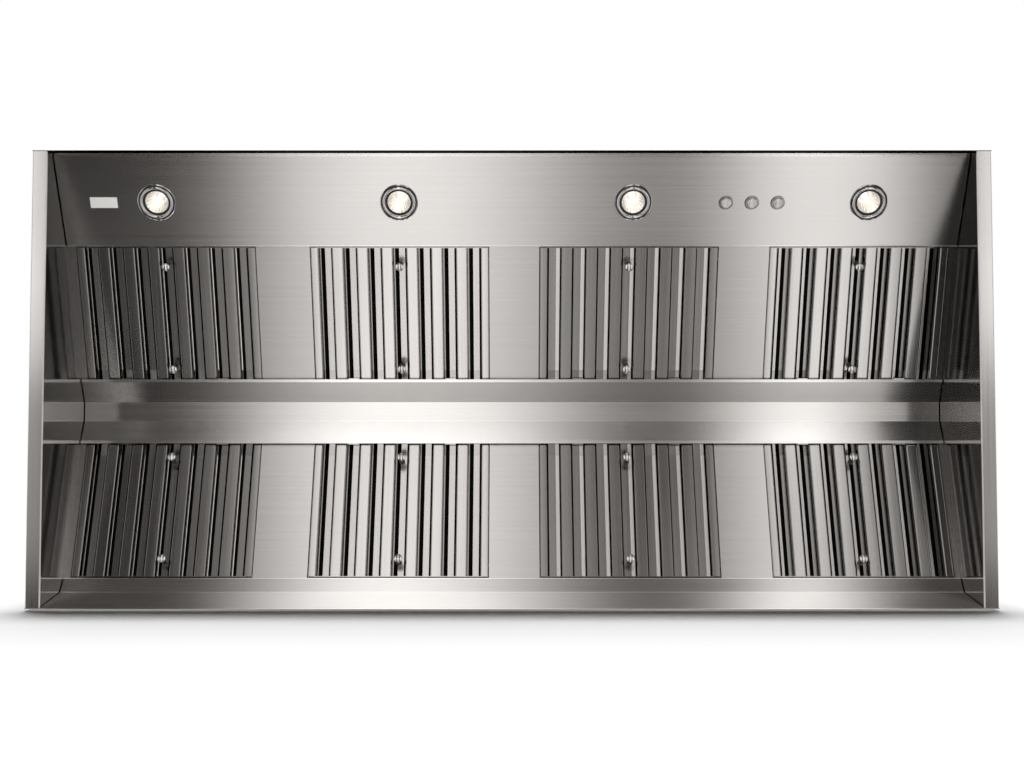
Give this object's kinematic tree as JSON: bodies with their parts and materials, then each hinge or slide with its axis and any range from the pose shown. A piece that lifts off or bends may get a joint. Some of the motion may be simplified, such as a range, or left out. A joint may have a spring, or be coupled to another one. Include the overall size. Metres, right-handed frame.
{
  "type": "range hood insert",
  "caption": "Wide stainless range hood insert with baffle filter banks, recessed lights, push buttons and twin blowers, standing on its rear face with the mouth forward.",
  "frame": {"origin": "centre of the rear face's underside: the middle of the whole hood's box, on the surface that the hood stands on in the picture", "axes": "as pictured: +Z up, from the rear skin to the front skin; +X to the right along the hood's width; -Y out of the mouth, and +Y along the duct collars. Hung in use, +Y points up and +Z points to the cook."},
  "size_m": [1.524, 0.517, 0.724],
  "materials": {
    "shell_steel": "horizontal brushed stainless",
    "filter_steel": "stainless brushed along the baffles",
    "knob_steel": "polished",
    "button_steel": "satin",
    "bright_trim": "polished",
    "name_plate": "satin, bare",
    "lamp_glass": "clear",
    "lamp_reflector": "faceted reflector",
    "lamp_can": "satin grey",
    "galvanised": "galvanised sheet",
    "motor_black": "satin black",
    "cable": "matt sleeve",
    "screw_steel": "zinc plated"
  },
  "bodies": {
    "shell": {"front_skin": "shell_steel", "rear_skin": "shell_steel", "left_side": "shell_steel", "right_side": "shell_steel", "top_plate": "shell_steel", "light_panel": "shell_steel", "centre_channel": "shell_steel", "rear_trough": "shell_steel", "front_blanks": "shell_steel", "rear_blanks": "shell_steel", "name_plate": "name_plate", "lamp_bezels": "bright_trim", "lamp_lenses": "lamp_glass", "lamp_bulbs": "lamp_reflector", "lamp_cans": "lamp_can", "switch_bodies": "bright_trim", "junction_box": "galvanised", "junction_cover": "galvanised", "wiring_harness": "cable", "fasteners": "screw_steel", "filter_catches": "screw_steel", "left_scroll": "galvanised", "left_motor": "motor_black", "left_collar": "galvanised", "right_scroll": "galvanised", "right_motor": "motor_black", "right_collar": "galvanised"},
    "front_filter_1": {"front_filter_1_frame": "filter_steel", "front_filter_1_baffles": "filter_steel", "front_filter_1_knobs": "knob_steel"},
    "front_filter_2": {"front_filter_2_frame": "filter_steel", "front_filter_2_baffles": "filter_steel", "front_filter_2_knobs": "knob_steel"},
    "front_filter_3": {"front_filter_3_frame": "filter_steel", "front_filter_3_baffles": "filter_steel", "front_filter_3_knobs": "knob_steel"},
    "front_filter_4": {"front_filter_4_frame": "filter_steel", "front_filter_4_baffles": "filter_steel", "front_filter_4_knobs": "knob_steel"},
    "rear_filter_1": {"rear_filter_1_frame": "filter_steel", "rear_filter_1_baffles": "filter_steel", "rear_filter_1_knobs": "knob_steel"},
    "rear_filter_2": {"rear_filter_2_frame": "filter_steel", "rear_filter_2_baffles": "filter_steel", "rear_filter_2_knobs": "knob_steel"},
    "rear_filter_3": {"rear_filter_3_frame": "filter_steel", "rear_filter_3_baffles": "filter_steel", "rear_filter_3_knobs": "knob_steel"},
    "rear_filter_4": {"rear_filter_4_frame": "filter_steel", "rear_filter_4_baffles": "filter_steel", "rear_filter_4_knobs": "knob_steel"},
    "fan_button": {"fan_button": "button_steel"},
    "speed_button": {"speed_button": "button_steel"},
    "light_button": {"light_button": "button_steel"},
    "left_wheel": {"left_wheel": "galvanised"},
    "left_flap_outer": {"left_flap_outer": "galvanised"},
    "left_flap_inner": {"left_flap_inner": "galvanised"},
    "right_wheel": {"right_wheel": "galvanised"},
    "right_flap_outer": {"right_flap_outer": "galvanised"},
    "right_flap_inner": {"right_flap_inner": "galvanised"}
  },
  "joints": [
    {"name": "front_filter_1_swing", "type": "hinge", "parent": "shell", "child": "front_filter_1", "pos_m": [-0.578, -0.063, 0.36773], "axis": [1, 0, 0], "range_deg": [0, 55]},
    {"name": "front_filter_2_swing", "type": "hinge", "parent": "shell", "child": "front_filter_2", "pos_m": [-0.188, -0.063, 0.36773], "axis": [1, 0, 0], "range_deg": [0, 55]},
    {"name": "front_filter_3_swing", "type": "hinge", "parent": "shell", "child": "front_filter_3", "pos_m": [0.19551, -0.063, 0.36773], "axis": [1, 0, 0], "range_deg": [0, 55]},
    {"name": "front_filter_4_swing", "type": "hinge", "parent": "shell", "child": "front_filter_4", "pos_m": [0.58, -0.063, 0.36773], "axis": [1, 0, 0], "range_deg": [0, 55]},
    {"name": "rear_filter_1_swing", "type": "hinge", "parent": "shell", "child": "rear_filter_1", "pos_m": [-0.578, -0.063, 0.26313], "axis": [-1, 0, 0], "range_deg": [0, 55]},
    {"name": "rear_filter_2_swing", "type": "hinge", "parent": "shell", "child": "rear_filter_2", "pos_m": [-0.188, -0.063, 0.26313], "axis": [-1, 0, 0], "range_deg": [0, 55]},
    {"name": "rear_filter_3_swing", "type": "hinge", "parent": "shell", "child": "rear_filter_3", "pos_m": [0.19551, -0.063, 0.26313], "axis": [-1, 0, 0], "range_deg": [0, 55]},
    {"name": "rear_filter_4_swing", "type": "hinge", "parent": "shell", "child": "rear_filter_4", "pos_m": [0.58, -0.063, 0.26313], "axis": [-1, 0, 0], "range_deg": [0, 55]},
    {"name": "fan_press", "type": "slide", "parent": "shell", "child": "fan_button", "axis": [0, 0.8689, 0.495], "range_m": [0, 0.0025], "stiffness_N_per_m": 500, "springref_m": -0.002},
    {"name": "speed_press", "type": "slide", "parent": "shell", "child": "speed_button", "axis": [0, 0.8689, 0.495], "range_m": [0, 0.0025], "stiffness_N_per_m": 500, "springref_m": -0.002},
    {"name": "light_press", "type": "slide", "parent": "shell", "child": "light_button", "axis": [0, 0.8689, 0.495], "range_m": [0, 0.0025], "stiffness_N_per_m": 500, "springref_m": -0.002},
    {"name": "left_wheel_spin", "type": "hinge", "parent": "shell", "child": "left_wheel", "pos_m": [-0.38, 0.09753, 0.401], "axis": [1, 0, 0], "continuous": true},
    {"name": "left_flap_outer_swing", "type": "hinge", "parent": "shell", "child": "left_flap_outer", "pos_m": [-0.38, 0.2265, 0.31476], "axis": [0, 0, -1], "range_deg": [0, 80]},
    {"name": "left_flap_inner_swing", "type": "hinge", "parent": "shell", "child": "left_flap_inner", "pos_m": [-0.38, 0.2265, 0.31476], "axis": [0, 0, 1], "range_deg": [0, 80]},
    {"name": "right_wheel_spin", "type": "hinge", "parent": "shell", "child": "right_wheel", "pos_m": [0.38, 0.09753, 0.401], "axis": [1, 0, 0], "continuous": true},
    {"name": "right_flap_outer_swing", "type": "hinge", "parent": "shell", "child": "right_flap_outer", "pos_m": [0.38, 0.2265, 0.31476], "axis": [0, 0, 1], "range_deg": [0, 80]},
    {"name": "right_flap_inner_swing", "type": "hinge", "parent": "shell", "child": "right_flap_inner", "pos_m": [0.38, 0.2265, 0.31476], "axis": [0, 0, -1], "range_deg": [0, 80]}
  ]
}
